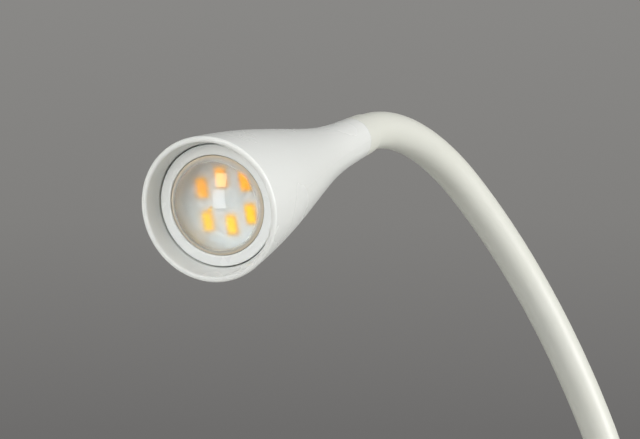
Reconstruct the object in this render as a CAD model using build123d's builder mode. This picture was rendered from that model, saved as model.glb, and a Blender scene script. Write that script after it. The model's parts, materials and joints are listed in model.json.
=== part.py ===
from build123d import *

import os
from math import asin, atan2, ceil, cos, degrees, hypot, pi, radians, sin, sqrt, tan

# A spring-clip reading lamp on a bendable neck, in millimetres.
# The origin is the middle of the upper jaw pad's gripping face. The jaws open towards -Y,
# the grips point to +Y, the hinge runs along X and the neck rises along +Z.

os.makedirs("parts", exist_ok=True)

# Clearances shared by the fits
FIT = 0.15              # between moulded pieces that slip together
SNUG = 0.05             # between faces that are screwed or pressed together
RUN = 0.10              # radial play of a turning pin

# Clip: upper jaw
JAW_W = 46.0            # width of the moulded housing
NOSE_Y = -19.0          # front tip of the upper jaw
TAIL_Y = 77.0           # end of the upper grip
PLAN_ROUND = 14.0       # corner radius of the housing seen from above
HOUSING_TOP = 24.0      # roof height over the pad face
HOUSING_WALL = 2.4
NOSE_TOP = 11.0         # roof height at the nose
NOSE_RUN = 30.0         # length of the slope from the nose to the flat roof
ROOF_ROUND = 3.5        # rounding of the roof edge
PLATE_T = 3.0           # thickness of the plate that closes the housing
BOSS_R = 3.6            # posts inside the housing for the plate screws
BOSS_INSET_X = 8.5      # post centre in from the housing side
BOSS_FRONT_Y = 19.0
BOSS_REAR_Y = 69.0
SCREW_R = 1.5
SCREW_L = 9.0
SCREW_HEAD_R = 2.7
SCREW_HEAD_T = 1.6
DRIVE_SPAN = 1.2        # driver cross, as a share of the head's radius
DRIVE_WIDTH = 0.28
DRIVE_DEPTH = 0.5       # as a share of the head's height

# Clip: pads
PAD_W = 34.0
PAD_L = 26.0
PAD_T = 3.0
PAD_PROUD = 2.0         # how far a pad stands out of its jaw
PAD_ROUND = 3.0

# Clip: hinge and lower jaw
PIN_Y = 35.0
PIN_Z = -7.0
PIN_R = 2.0
LUG_T = 4.0             # hinge lugs of the upper jaw
LUG_R = 6.0
LUG_X = 12.0            # inner side of a lug
CHEEK_T = 3.0           # hinge cheeks of the lower jaw
CHEEK_R = 5.5
CHEEK_GAP = 0.5         # side play between cheek and lug
LEVER_T = 3.0
JAW_REST_TILT = 14.0    # the closed lower jaw slopes away from the upper one by this angle
PAD_GAP = 2.6           # closed gap between the pads at their front edge
LIP_GAP = 0.4           # closed gap at the gripping lips
LIP_L = 4.0
GRIP_Y = 41.0           # where the lower jaw bends into its grip
GRIP_TILT = 32.0        # slope of the grip at rest
GRIP_L = 40.0
GRIP_RIB_COUNT = 5
GRIP_RIB_R = 0.9
GRIP_RIB_PITCH = 4.5
FLANGE_H = 5.0          # side walls that stiffen the lower jaw
CLIP_T = 0.8            # retaining clips on the pin
CLIP_R = 4.0
CLIP_GROOVE = 0.4
PIN_TAIL = 1.6          # pin past its clip

# Clip: torsion spring
WIRE_R = 0.9
COIL_R = 5.0
COIL_PITCH = 2.6
COIL_WHOLE_TURNS = 5
SPRING_LEG = 24.0
SPRING_TOUCH = 0.06     # gap between a leg's tip and what it presses on

# Rocker switch on the upper grip
SWITCH_Y = 59.0
BEZEL_W = 15.0
BEZEL_L = 21.0
BEZEL_T = 1.5
SWITCH_W = 12.8
SWITCH_L = 18.8
SWITCH_DEPTH = 11.0     # below the roof
ROCKER_W = 10.0
ROCKER_L = 15.6
ROCKER_RISE = 3.4       # height of the rocker's ends over its pivot
ROCKER_DISH = 1.2       # how far the middle lies under the ends
ROCKER_BELLY = 3.0      # depth under the pivot
ROCKER_THROW = 8.0      # tilt each way from level
TRUNNION_R = 1.2
TRUNNION_L = 1.1
BLADE_W = 4.8
BLADE_T = 0.8
BLADE_L = 5.0
BLADE_PITCH = 10.0

# Wiring inside the clip
BLOCK_W = 16.0
BLOCK_L = 9.0
BLOCK_H = 9.0
BLOCK_Y = 9.0
BLOCK_PITCH = 8.0
BLOCK_HOLE_R = 2.2
INSERT_WALL = 0.7
WIRE_OUTER_R = 0.8
GROMMET_BORE_R = 2.75
GROMMET_WALL = 1.4
GROMMET_FLANGE_R = 6.5
GROMMET_LIP_T = 1.6
GROMMET_Z = 12.0

# Neck
NECK_D = 11.44
SLEEVE_WALL = 1.3
CORE_WALL = 1.3
CABLE_R = 1.9
NECK_Y = PIN_Y          # the neck stands over the hinge
COLLAR_RISE = 9.0      # collar over the housing roof
COLLAR_LIP = 1.3        # wall of the collar round the sleeve
COLLAR_SPREAD = 2.6     # how much wider the collar is at its foot
SOCKET_DEPTH = 6.0      # how far the sleeve goes into the collar
NECK_RISE = 90.0        # straight foot of the neck
NECK_LEAN = 21.1        # then it leans to -X by this angle
LEAN_R = 150.0
BOW_R = 150.0           # long bow below the hook
HOOK_R = 67.0           # tight bend behind the head
HOOK_TURN = 56.0
NECK_PIECES = 7
NECK_PLAY = 0.14        # spherical gap between neighbouring neck pieces
NECK_TRIM = 2.9         # a neck piece starts this far past its pivot

# Neck fittings
FERRULE_BORE = 4.6
FERRULE_WALL = 1.7
SPIGOT_L = 8.0          # foot ferrule's tongue inside the neck's core
HEAD_SPIGOT_L = 2.0     # head ferrule's tongue inside the neck's core
FOOT_FERRULE_L = 13.0   # threaded length below the sleeve
FOOT_NUT_FLATS = 13.0
FOOT_NUT_T = 4.0
WASHER_R = 8.0
WASHER_T = 1.0

# Head
HEAD_YAW = 24.0         # the head axis is turned this far from +Y towards +X
HEAD_PITCH = 12.33      # and climbs this much from the mouth to the neck
MOUTH_D = 41.0
SHADE_L = 101.0
SHADE_WALL = 1.6
SHOULDER_S = 30.0       # station behind the mouth
SHOULDER_R = 16.65
SEAT_S = 62.0           # station where the lampholder's bracket seats
SEAT_R = 10.73
COLLAR_L = 7.0          # straight cone at the rear
COLLAR_R = 6.85
SHADE_REAR_R = 6.57
CUFF_L = 9.0            # soft cuff between the shade and the neck
CUFF_R = 6.25           # at its neck end
CUFF_BEVEL = 0.5
MOUTH_SLOPE = 0.095     # inward slope of the wall at the mouth
RIM_ROUND = 0.65
LEAD_IN_L = 5.2         # cone inside the mouth, down to the bulb's seat
RING_SEAT_S = 12.0      # rear end of the bulb's seat
RING_PLAY = 0.35        # gap round the bulb's ring
RING_NUT_T = 3.0
HEAD_FERRULE_FREE = 1.5  # thread standing past the ring nut

# Reflector bulb
BULB_L = 43.3
BULB_FACE_R = 17.2
RING_T = 2.5            # retaining ring round the lens
LENS_R = 14.0
LENS_RISE = 4.6
LENS_T = 1.2
LENS_SET_BACK = 0.4     # lens edge behind the ring's face
BOARD_S = 6.9           # LED board's front behind the bulb's face
BOARD_T = 1.2
BOARD_LEDGE = 2.0
CUP_WALL = 1.3
CUP_NECK_R = 9.2
CUP_COLLAR = 3.0        # straight band of the cup behind the ring
BASE_R = 7.0
BASE_L = 7.5
PIN_PITCH = 4.0
LEAD_R = 0.5
LEAD_FREE = 7.0
LED_L = 5.7
LED_W = 3.0
LED_T = 0.8
LED_WINDOW_L = 4.4
LED_WINDOW_W = 2.0
LED_WINDOW_T = 0.12
LED_TILT = 5.5
LED_PLACES = ((7.0, 3.6), (1.0, 6.6), (-6.1, 5.6))  # one of each opposite pair
DRIVER_W = 12.0
DRIVER_L = 20.0
DRIVER_T = 1.0
CAPACITOR_R = 2.6
CAPACITOR_L = 8.0
CAPACITOR_BED = 0.3     # how deep it is glued into the board
CHIP_L = 5.0
CHIP_W = 4.0
CHIP_T = 1.5

# Lampholder
HOLDER_R = 8.2
HOLDER_L = 12.0
BRACKET_T = 1.0
BRACKET_HOLE_R = 3.6
CONTACT_WALL = 0.45
CONTACT_L = 8.0
HOLDER_SCREW_R = 0.9
HOLDER_SCREW_L = 5.0
HOLDER_SCREW_HEAD_R = 1.6
HOLDER_SCREW_HEAD_T = 0.8
HOLDER_SCREW_PITCH = 11.0
LEAD_WIRE_R = 0.7
LEAD_WIRE_BEND = 14.0
LEAD_WIRE_GAP = 0.9     # wire offset from the axis inside the ferrule

# Values that follow from the sizes above
NECK_R = NECK_D / 2
CORE_R = NECK_R - SLEEVE_WALL - FIT
CORE_IN_R = CORE_R - CORE_WALL
FERRULE_R = FERRULE_BORE / 2 + FERRULE_WALL
SPIGOT_R = CORE_IN_R - SNUG
MOUTH_R = MOUTH_D / 2
HOUSING_L = TAIL_Y - NOSE_Y
HOUSING_MID_Y = (TAIL_Y + NOSE_Y) / 2
ROOF_UNDER = HOUSING_TOP - HOUSING_WALL
PLATE_Z = PAD_PROUD
PLATE_TOP = PLATE_Z + PLATE_T
BOSS_X = JAW_W / 2 - BOSS_INSET_X
CHEEK_X = LUG_X + LUG_T + CHEEK_GAP
LEVER_W = 2 * (CHEEK_X + CHEEK_T)
PIN = Vector(0, PIN_Y, PIN_Z)


def save(piece, name):
    """Label a finished piece and write it as its own file."""
    piece.part.label = name
    export_step(piece.part, f"parts/{name}.step")


def housing_plan(height, inset):
    """The housing's outline from above, drawn in by an inset."""
    with BuildSketch(Plane.XY.offset(height)) as plan:
        with Locations((0, HOUSING_MID_Y)):
            RectangleRounded(JAW_W - 2 * inset, HOUSING_L - 2 * inset, PLAN_ROUND - inset)
    return plan.sketch


def nose_wedge(inset):
    """The air over the sloping nose, seen from the side."""
    tip = NOSE_TOP - inset
    top = HOUSING_TOP - inset
    ahead = NOSE_Y - HOUSING_WALL
    above = 2 * HOUSING_TOP
    slope_end = NOSE_Y + NOSE_RUN
    with BuildSketch(Plane.YZ.offset(-JAW_W)) as wedge:
        with BuildLine():
            Polyline(
                (ahead, tip), (NOSE_Y, tip), (slope_end, top),
                (slope_end, above), (ahead, above), close=True,
            )
        make_face()
    return wedge.sketch


def screw(foot, axis, radius, length, head_r, head_t):
    """A pan-head screw whose head bears at foot and whose shank runs along axis."""
    seat = Plane(origin=foot, z_dir=axis)
    with BuildPart() as fastener:
        with BuildSketch(seat):
            Circle(radius)
        extrude(amount=length)
        with BuildSketch(seat):
            Circle(head_r)
        extrude(amount=-head_t)
        crown = fastener.faces().sort_by(Axis(foot, axis))[0]
        fillet(crown.edges(), head_t / 3)
        with BuildSketch(seat.offset(-head_t)):
            Rectangle(DRIVE_SPAN * head_r, DRIVE_WIDTH * head_r)
            Rectangle(DRIVE_WIDTH * head_r, DRIVE_SPAN * head_r)
        extrude(amount=DRIVE_DEPTH * head_t, mode=Mode.SUBTRACT)
    return fastener.part


def wire_run(points, radius, bend):
    """A round wire along straight runs joined by tangent arcs."""
    with BuildPart() as wire:
        with BuildLine() as route:
            FilletPolyline(*points, radius=bend)
        with BuildSketch(Plane(origin=route.line @ 0, z_dir=route.line % 0)):
            Circle(radius)
        sweep(path=route.line)
    return wire.part


# Upper jaw housing with the neck's collar, the switch opening and the screw posts
COLLAR_TOP = HOUSING_TOP + COLLAR_RISE
COLLAR_BORE_R = NECK_R + FIT
COLLAR_TOP_R = COLLAR_BORE_R + COLLAR_LIP
COLLAR_FOOT_R = COLLAR_TOP_R + COLLAR_SPREAD
NECK_FOOT = Vector(0, NECK_Y, COLLAR_TOP - SOCKET_DEPTH)
NECK_STAND = Plane(origin=(0, NECK_Y, 0))
SCREW_SPOTS = [(side * BOSS_X, y) for side in (-1, 1) for y in (BOSS_FRONT_Y, BOSS_REAR_Y)]
HEAD_RECESS = SCREW_HEAD_T + FIT
GROMMET_R = GROMMET_BORE_R + GROMMET_WALL
SWITCH_SPOT = (0, SWITCH_Y)

with BuildPart() as housing_hollow:
    extrude(housing_plan(PLATE_Z, HOUSING_WALL), amount=ROOF_UNDER - PLATE_Z)
    extrude(nose_wedge(HOUSING_WALL), amount=2 * JAW_W, mode=Mode.SUBTRACT)

with BuildPart() as clamp_housing:
    extrude(housing_plan(PLATE_Z, 0), amount=HOUSING_TOP - PLATE_Z)
    extrude(nose_wedge(0), amount=2 * JAW_W, mode=Mode.SUBTRACT)
    roof = clamp_housing.faces().filter_by(lambda face: face.normal_at().Z > 0.5)
    rims = [edge for face in roof for edge in face.edges()]
    ridge_y = NOSE_Y + NOSE_RUN
    fillet([edge for edge in rims if abs(edge.center().Y - ridge_y) > SNUG], ROOF_ROUND)
    add(housing_hollow.part, mode=Mode.SUBTRACT)
    with BuildSketch(Plane.XZ.offset(-NECK_Y)):
        with BuildLine():
            Line((0, ROOF_UNDER), (COLLAR_FOOT_R, ROOF_UNDER))
            Line((COLLAR_FOOT_R, ROOF_UNDER), (COLLAR_FOOT_R, HOUSING_TOP))
            Spline(
                (COLLAR_FOOT_R, HOUSING_TOP), (COLLAR_TOP_R, COLLAR_TOP),
                tangents=((-1, 0.5), (0, 1)),
            )
            Polyline((COLLAR_TOP_R, COLLAR_TOP), (0, COLLAR_TOP), (0, ROOF_UNDER))
        make_face()
    revolve(axis=Axis((0, NECK_Y, 0), (0, 0, 1)))
    with BuildSketch(NECK_STAND.offset(NECK_FOOT.Z)):
        Circle(COLLAR_BORE_R)
    extrude(amount=SOCKET_DEPTH, mode=Mode.SUBTRACT)
    with BuildSketch(NECK_STAND.offset(ROOF_UNDER)):
        Circle(FERRULE_R + RUN)
    extrude(amount=COLLAR_TOP - ROOF_UNDER, mode=Mode.SUBTRACT)
    with BuildSketch(Plane.XY.offset(PLATE_TOP + SNUG)):
        with Locations(SCREW_SPOTS):
            Circle(BOSS_R)
            Circle(SCREW_R + SNUG, mode=Mode.SUBTRACT)
    extrude(amount=ROOF_UNDER - PLATE_TOP)
    with BuildSketch(Plane.XY.offset(ROOF_UNDER)):
        with Locations(SWITCH_SPOT):
            Rectangle(SWITCH_W + 2 * FIT, SWITCH_L + 2 * FIT)
    extrude(amount=2 * HOUSING_WALL, mode=Mode.SUBTRACT)
    with BuildSketch(Plane.XZ.offset(-TAIL_Y - HOUSING_WALL)):
        with Locations((0, GROMMET_Z)):
            Circle(GROMMET_R + SNUG)
    extrude(amount=2.5 * HOUSING_WALL, mode=Mode.SUBTRACT)
save(clamp_housing, "clamp_housing")

# Plate that closes the housing: it holds the upper pad and the two hinge lugs
PAD_SINK = PAD_T - PAD_PROUD
with BuildPart() as jaw_plate:
    extrude(housing_plan(PLATE_Z, HOUSING_WALL + FIT), amount=PLATE_T)
    with BuildSketch(Plane.XY.offset(PLATE_Z)):
        RectangleRounded(PAD_W + 2 * FIT, PAD_L + 2 * FIT, PAD_ROUND + FIT)
    extrude(amount=PAD_SINK, mode=Mode.SUBTRACT)
    for inner_x in (LUG_X, -LUG_X - LUG_T):
        with BuildSketch(Plane.YZ.offset(inner_x)):
            with Locations((PIN_Y, PIN_Z)):
                Circle(LUG_R)
            with Locations((PIN_Y, (PIN_Z + PLATE_TOP) / 2)):
                Rectangle(2 * LUG_R, PLATE_TOP - PIN_Z)
        extrude(amount=LUG_T)
    with BuildSketch(Plane.YZ.offset(-LEVER_W)):
        with Locations((PIN_Y, PIN_Z)):
            Circle(PIN_R + SNUG)
    extrude(amount=2 * LEVER_W, mode=Mode.SUBTRACT)
    with Locations([Plane(origin=(x, y, PLATE_Z), z_dir=(0, 0, -1)) for x, y in SCREW_SPOTS]):
        CounterBoreHole(SCREW_R + FIT, SCREW_HEAD_R + FIT, HEAD_RECESS, depth=2 * PLATE_T)
save(jaw_plate, "jaw_plate")

long_screws = [
    screw(Vector(x, y, PLATE_Z + HEAD_RECESS), (0, 0, 1), SCREW_R, SCREW_L, SCREW_HEAD_R, SCREW_HEAD_T)
    for x, y in SCREW_SPOTS
]
with BuildPart() as plate_screws:
    add(long_screws)
save(plate_screws, "plate_screws")

with BuildPart() as upper_pad:
    with BuildSketch(Plane.XY):
        RectangleRounded(PAD_W, PAD_L, PAD_ROUND)
    extrude(amount=PAD_T - SNUG)
    chamfer(upper_pad.faces().sort_by(Axis.Z)[0].edges(), PAD_PROUD / 4)
save(upper_pad, "upper_pad")

# Lower jaw: a sloping arm with a lip, a hinge and a grip
JAW_ALONG = Vector(0, cos(radians(JAW_REST_TILT)), -sin(radians(JAW_REST_TILT)))
JAW_UP = Vector(0, sin(radians(JAW_REST_TILT)), cos(radians(JAW_REST_TILT)))
PAD_FRONT = Vector(0, -PAD_L / 2, -PAD_GAP)
ARM_START = PAD_FRONT - JAW_UP * PAD_PROUD
GRIP_ALONG = Vector(0, cos(radians(GRIP_TILT)), -sin(radians(GRIP_TILT)))
GRIP_UP = Vector(0, sin(radians(GRIP_TILT)), cos(radians(GRIP_TILT)))
ARM_END = ARM_START + JAW_ALONG * ((GRIP_Y - ARM_START.Y) / JAW_ALONG.Y)
GRIP_END = ARM_END + GRIP_ALONG * GRIP_L
LIP_TOP = PLATE_Z - LIP_GAP
MITRE = tan(radians((GRIP_TILT - JAW_REST_TILT) / 2))


def arm_side(depth, front, rear):
    """Outline of the arm and grip from the side: front and rear cut lengths off its ends."""
    bend = ARM_END - JAW_UP * depth - JAW_ALONG * (depth * MITRE)
    corners = (
        ARM_START + JAW_ALONG * front,
        ARM_END,
        GRIP_END - GRIP_ALONG * rear,
        GRIP_END - GRIP_ALONG * rear - GRIP_UP * depth,
        bend,
        ARM_START + JAW_ALONG * front - JAW_UP * depth,
    )
    return [(corner.Y, corner.Z) for corner in corners]


ARM_BASE = ARM_START - JAW_UP * LEVER_T
LIP_BEVEL = LIP_L / 4
LOWER_PAD_PLANE = Plane(
    origin=ARM_START + JAW_ALONG * (PAD_L / 2) - JAW_UP * PAD_SINK, x_dir=(1, 0, 0), z_dir=JAW_UP,
)

with BuildPart() as clamp_lever:
    with BuildSketch(Plane.YZ.offset(-LEVER_W / 2)):
        with BuildLine():
            Polyline(*arm_side(LEVER_T, 0, 0), close=True)
        make_face()
        with BuildLine():
            Polyline(
                (ARM_START.Y, ARM_START.Z),
                (NOSE_Y + LIP_L - LIP_BEVEL, LIP_TOP),
                (NOSE_Y + LIP_BEVEL, LIP_TOP),
                (NOSE_Y, LIP_TOP - 2 * LIP_BEVEL),
                (NOSE_Y + LIP_BEVEL, ARM_BASE.Z + 2 * LIP_BEVEL),
                (ARM_BASE.Y, ARM_BASE.Z),
                close=True,
            )
        make_face()
    extrude(amount=LEVER_W)
    for inner_x in (CHEEK_X, -CHEEK_X - CHEEK_T):
        with BuildSketch(Plane.YZ.offset(inner_x)):
            with BuildLine():
                Polyline(*arm_side(FLANGE_H, PAD_L / 4, GRIP_L / 4), close=True)
            make_face()
            with Locations((PIN_Y, PIN_Z)):
                Circle(CHEEK_R)
            with BuildLine():
                Polyline(
                    (PIN_Y - CHEEK_R, PIN_Z), (PIN_Y + CHEEK_R, PIN_Z),
                    (ARM_END.Y + CHEEK_R, ARM_END.Z - FLANGE_H), (PIN_Y - 2 * CHEEK_R, ARM_END.Z),
                    close=True,
                )
            make_face()
        extrude(amount=CHEEK_T)
    rib_row = GRIP_END - GRIP_UP * LEVER_T
    grip_ribs = [rib_row - GRIP_ALONG * (GRIP_RIB_PITCH * (n + 1)) for n in range(GRIP_RIB_COUNT)]
    with BuildSketch(Plane.YZ.offset(-CHEEK_X)):
        with Locations([(rib.Y, rib.Z) for rib in grip_ribs]):
            Circle(GRIP_RIB_R)
    extrude(amount=2 * CHEEK_X)
    lever_reach = GRIP_END.Y - NOSE_Y
    with BuildSketch(Plane.XY.offset(GRIP_END.Z - 2 * FLANGE_H)):
        with Locations((0, NOSE_Y + lever_reach / 2)):
            RectangleRounded(LEVER_W, lever_reach, PLAN_ROUND - CHEEK_T)
    extrude(amount=HOUSING_TOP - GRIP_END.Z, mode=Mode.INTERSECT)
    with BuildSketch(LOWER_PAD_PLANE):
        RectangleRounded(PAD_W + 2 * FIT, PAD_L + 2 * FIT, PAD_ROUND + FIT)
    extrude(amount=PAD_T, mode=Mode.SUBTRACT)
    with BuildSketch(Plane.YZ.offset(-LEVER_W)):
        with Locations((PIN_Y, PIN_Z)):
            Circle(PIN_R + RUN)
    extrude(amount=2 * LEVER_W, mode=Mode.SUBTRACT)
save(clamp_lever, "clamp_lever")

with BuildPart() as lower_pad:
    with BuildSketch(LOWER_PAD_PLANE.offset(SNUG)):
        RectangleRounded(PAD_W, PAD_L, PAD_ROUND)
    extrude(amount=PAD_T - SNUG)
    chamfer(lower_pad.faces().sort_by(Axis((0, 0, 0), JAW_UP))[-1].edges(), PAD_PROUD / 4)
save(lower_pad, "lower_pad")

# Hinge pin and its two retaining clips
CLIP_X = CHEEK_X + CHEEK_T + FIT
GROOVE_R = PIN_R - CLIP_GROOVE
PIN_HALF = CLIP_X + CLIP_T + PIN_TAIL

with BuildPart() as hinge_pin:
    with BuildSketch(Plane.YZ.offset(-PIN_HALF)):
        with Locations((PIN_Y, PIN_Z)):
            Circle(PIN_R)
    extrude(amount=2 * PIN_HALF)
    chamfer(hinge_pin.edges(), PIN_R / 5)
    for groove_x in (CLIP_X - SNUG, -CLIP_X - CLIP_T - SNUG):
        with BuildSketch(Plane.YZ.offset(groove_x)):
            with Locations((PIN_Y, PIN_Z)):
                Circle(2 * PIN_R)
                Circle(GROOVE_R, mode=Mode.SUBTRACT)
        extrude(amount=CLIP_T + 2 * SNUG, mode=Mode.SUBTRACT)
save(hinge_pin, "hinge_pin")

with BuildPart() as pin_clips:
    for clip_x in (CLIP_X, -CLIP_X - CLIP_T):
        with BuildSketch(Plane.YZ.offset(clip_x)):
            with Locations((PIN_Y, PIN_Z)):
                Circle(CLIP_R)
                Circle(GROOVE_R + SNUG, mode=Mode.SUBTRACT)
            with Locations((PIN_Y, PIN_Z - CLIP_R)):
                Rectangle(2 * (GROOVE_R + SNUG), 2 * CLIP_R, mode=Mode.SUBTRACT)
        extrude(amount=CLIP_T)
save(pin_clips, "pin_clips")

# Torsion spring round the pin: its legs press the plate and the grip apart
LEG_SPAN = hypot(COIL_R, SPRING_LEG)
LEG_TOE = atan2(COIL_R, SPRING_LEG)
UPPER_REACH = PLATE_Z - WIRE_R - SPRING_TOUCH - PIN_Z
LOWER_REACH = GRIP_UP.dot(PIN - ARM_END) - WIRE_R - SPRING_TOUCH
UPPER_LEG = degrees(asin(UPPER_REACH / LEG_SPAN) - LEG_TOE)
LOWER_LEG = GRIP_TILT + degrees(asin(LOWER_REACH / LEG_SPAN) - LEG_TOE)
COIL_FROM = 90 + UPPER_LEG
COIL_SWEEP = 180 - LOWER_LEG - UPPER_LEG + 360 * COIL_WHOLE_TURNS
COIL_L = COIL_PITCH * COIL_SWEEP / 360
QUARTERS = ceil(COIL_SWEEP / 90)


def coil_at(share):
    """Centre of the spring's wire and its heading at a share of the coil."""
    angle = radians(COIL_FROM + share * COIL_SWEEP)
    spot = PIN + Vector(COIL_L * (share - 0.5), COIL_R * cos(angle), COIL_R * sin(angle))
    heading = Vector(COIL_PITCH / (2 * pi), -COIL_R * sin(angle), COIL_R * cos(angle))
    return spot, heading.normalized()


def biarc_joint(start, heading, end, exit_heading):
    """Where two tangent arcs of equal reach meet, and their shared heading there."""
    chord = end - start
    both = heading + exit_heading
    square = both.dot(both) - 4
    linear = -2 * chord.dot(both)
    reach = (-linear - sqrt(linear**2 - 4 * square * chord.dot(chord))) / (2 * square)
    leave = start + heading * reach
    arrive = end - exit_heading * reach
    return (leave + arrive) * 0.5, (arrive - leave).normalized()


with BuildPart() as torsion_spring:
    coil = [coil_at(n / QUARTERS) for n in range(QUARTERS + 1)]
    first, first_heading = coil[0]
    last, last_heading = coil[-1]
    leg_tip = first - first_heading * SPRING_LEG
    with BuildLine() as spring_route:
        Line(leg_tip, first)
        for (start, heading), (end, exit_heading) in zip(coil, coil[1:]):
            joint, joint_heading = biarc_joint(start, heading, end, exit_heading)
            TangentArc(start, joint, tangent=heading)
            TangentArc(joint, end, tangent=joint_heading)
        Line(last, last + last_heading * SPRING_LEG)
    with BuildSketch(Plane(origin=leg_tip, z_dir=first_heading)):
        Circle(WIRE_R)
    sweep(path=spring_route.line)
save(torsion_spring, "torsion_spring")

QUARTER_POINTS = 9
coil_count = QUARTERS * QUARTER_POINTS
coil_points = [coil_at(n / coil_count)[0] for n in range(coil_count + 1)]
spring_gap = min(
    (late - early).length
    for n, early in enumerate(coil_points)
    for late in coil_points[n + 2 * QUARTER_POINTS:]
) - 2 * WIRE_R
print(f"torsion spring: {COIL_SWEEP / 360:.2f} turns, least gap to itself {spring_gap:.2f} mm")

# Rocker switch
PIVOT = Vector(0, SWITCH_Y, HOUSING_TOP + BEZEL_T / 4)
SWITCH_FLOOR = HOUSING_TOP - SWITCH_DEPTH
ROCKER_REACH = hypot(ROCKER_L / 2, ROCKER_RISE)
WELL_L = 2 * (ROCKER_REACH + FIT)
WELL_FLOOR = PIVOT.Z - ROCKER_BELLY - 2 * TRUNNION_R

with BuildPart() as switch_body:
    with BuildSketch(Plane.XY.offset(SWITCH_FLOOR)):
        with Locations(SWITCH_SPOT):
            Rectangle(SWITCH_W, SWITCH_L)
    extrude(amount=SWITCH_DEPTH + SNUG)
    with BuildSketch(Plane.XY.offset(HOUSING_TOP + SNUG)):
        with Locations(SWITCH_SPOT):
            RectangleRounded(BEZEL_W, BEZEL_L, BEZEL_T)
    extrude(amount=BEZEL_T)
    chamfer(switch_body.faces().sort_by(Axis.Z)[-1].edges(), BEZEL_T / 4)
    with BuildSketch(Plane.XY.offset(WELL_FLOOR)):
        with Locations(SWITCH_SPOT):
            Rectangle(ROCKER_W + 2 * FIT, WELL_L)
    extrude(amount=HOUSING_TOP, mode=Mode.SUBTRACT)
    with BuildSketch(Plane.YZ.offset(-ROCKER_W / 2 - TRUNNION_L - FIT)):
        with Locations((PIVOT.Y, PIVOT.Z)):
            Circle(TRUNNION_R + RUN)
    extrude(amount=ROCKER_W + 2 * TRUNNION_L + 2 * FIT, mode=Mode.SUBTRACT)
save(switch_body, "switch_body")

ROCKER_ALONG = Vector(0, cos(radians(ROCKER_THROW)), -sin(radians(ROCKER_THROW)))
ROCKER_SIDE = Plane(origin=PIVOT, x_dir=ROCKER_ALONG, z_dir=(1, 0, 0))
with BuildPart() as switch_rocker:
    with BuildSketch(ROCKER_SIDE.offset(-ROCKER_W / 2)):
        with BuildLine():
            ThreePointArc(
                (-ROCKER_L / 2, ROCKER_RISE), (0, ROCKER_RISE - ROCKER_DISH), (ROCKER_L / 2, ROCKER_RISE),
            )
            Polyline(
                (ROCKER_L / 2, ROCKER_RISE), (ROCKER_L / 2, -TRUNNION_R / 2),
                (ROCKER_L / 4, -ROCKER_BELLY), (-ROCKER_L / 4, -ROCKER_BELLY),
                (-ROCKER_L / 2, -TRUNNION_R / 2), (-ROCKER_L / 2, ROCKER_RISE),
            )
        make_face()
    extrude(amount=ROCKER_W)
    with BuildSketch(ROCKER_SIDE.offset(-ROCKER_W / 2 - TRUNNION_L)):
        Circle(TRUNNION_R)
    extrude(amount=ROCKER_W + 2 * TRUNNION_L)
save(switch_rocker, "switch_rocker")

with BuildPart() as switch_blades:
    for blade_y in (SWITCH_Y - BLADE_PITCH / 2, SWITCH_Y + BLADE_PITCH / 2):
        with BuildSketch(Plane.XZ.offset(-blade_y - BLADE_T / 2)):
            with Locations((0, SWITCH_FLOOR - SNUG - BLADE_L / 2)):
                Rectangle(BLADE_W, BLADE_L)
            with Locations((0, SWITCH_FLOOR - SNUG - BLADE_L * 0.65)):
                Circle(BLADE_T, mode=Mode.SUBTRACT)
        extrude(amount=BLADE_T)
save(switch_blades, "switch_blades")

# Supply terminals, wiring and the grommet where a supply lead enters
BLOCK_Z = PLATE_TOP + SNUG
BLOCK_AXIS_Z = BLOCK_Z + BLOCK_H / 2
BLOCK_HOLES = [(side * BLOCK_PITCH / 2, BLOCK_AXIS_Z) for side in (-1, 1)]
BLOCK_REAR = BLOCK_Y + BLOCK_L / 2

with BuildPart() as terminal_block:
    with BuildSketch(Plane.XY.offset(BLOCK_Z)):
        with Locations((0, BLOCK_Y)):
            RectangleRounded(BLOCK_W, BLOCK_L, INSERT_WALL)
    extrude(amount=BLOCK_H)
    with BuildSketch(Plane.XZ.offset(-BLOCK_REAR)):
        with Locations(BLOCK_HOLES):
            Circle(BLOCK_HOLE_R)
    extrude(amount=BLOCK_L, mode=Mode.SUBTRACT)
save(terminal_block, "terminal_block")

with BuildPart() as terminal_inserts:
    with BuildSketch(Plane.XZ.offset(-BLOCK_REAR + SNUG)):
        with Locations(BLOCK_HOLES):
            Circle(BLOCK_HOLE_R - SNUG)
            Circle(BLOCK_HOLE_R - SNUG - INSERT_WALL, mode=Mode.SUBTRACT)
    extrude(amount=BLOCK_L - 2 * SNUG)
save(terminal_inserts, "terminal_inserts")

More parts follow.
